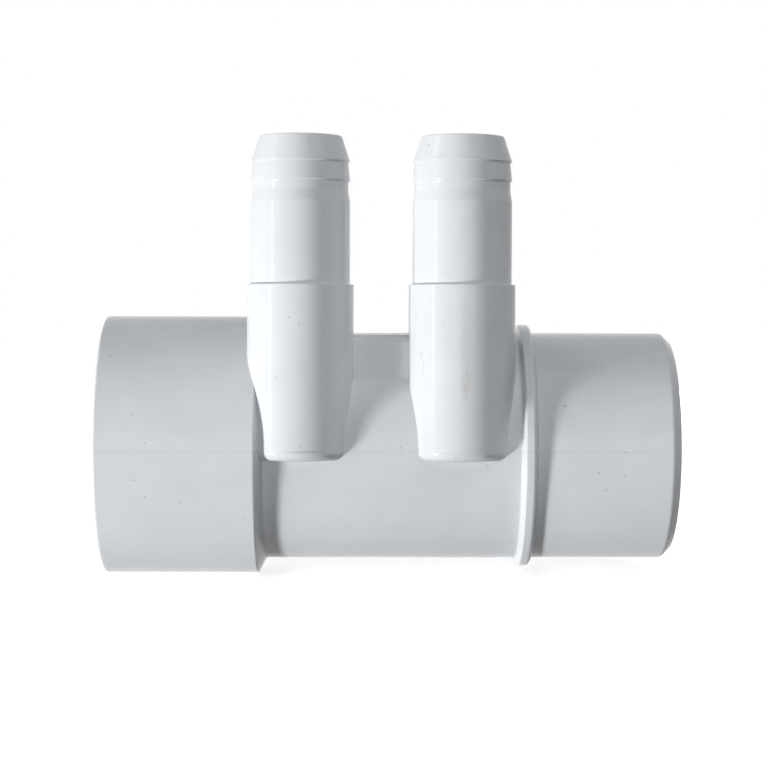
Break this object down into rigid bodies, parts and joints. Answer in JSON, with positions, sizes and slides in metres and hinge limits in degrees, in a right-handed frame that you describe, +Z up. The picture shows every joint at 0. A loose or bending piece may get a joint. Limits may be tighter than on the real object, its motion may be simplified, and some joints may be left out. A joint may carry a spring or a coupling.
{
  "type": "barbed water manifold",
  "caption": "Straight pipe manifold with a slip socket, a plain spigot with a stop ring, and a pair of hose barbs standing off one side.",
  "frame": {"origin": "centre of the socket's mouth, on the axis of the pipe run", "axes": "+X along the pipe run, from the socket to the spigot; +Z up along the hose barbs; the barbs stand off the pipe's axis towards -Y"},
  "size_m": [0.149, 0.0702, 0.1143],
  "materials": {
    "white_pvc": "semi-gloss injection-moulded white PVC"
  },
  "bodies": {
    "root": {"manifold_body": "white_pvc"}
  },
  "joints": []
}
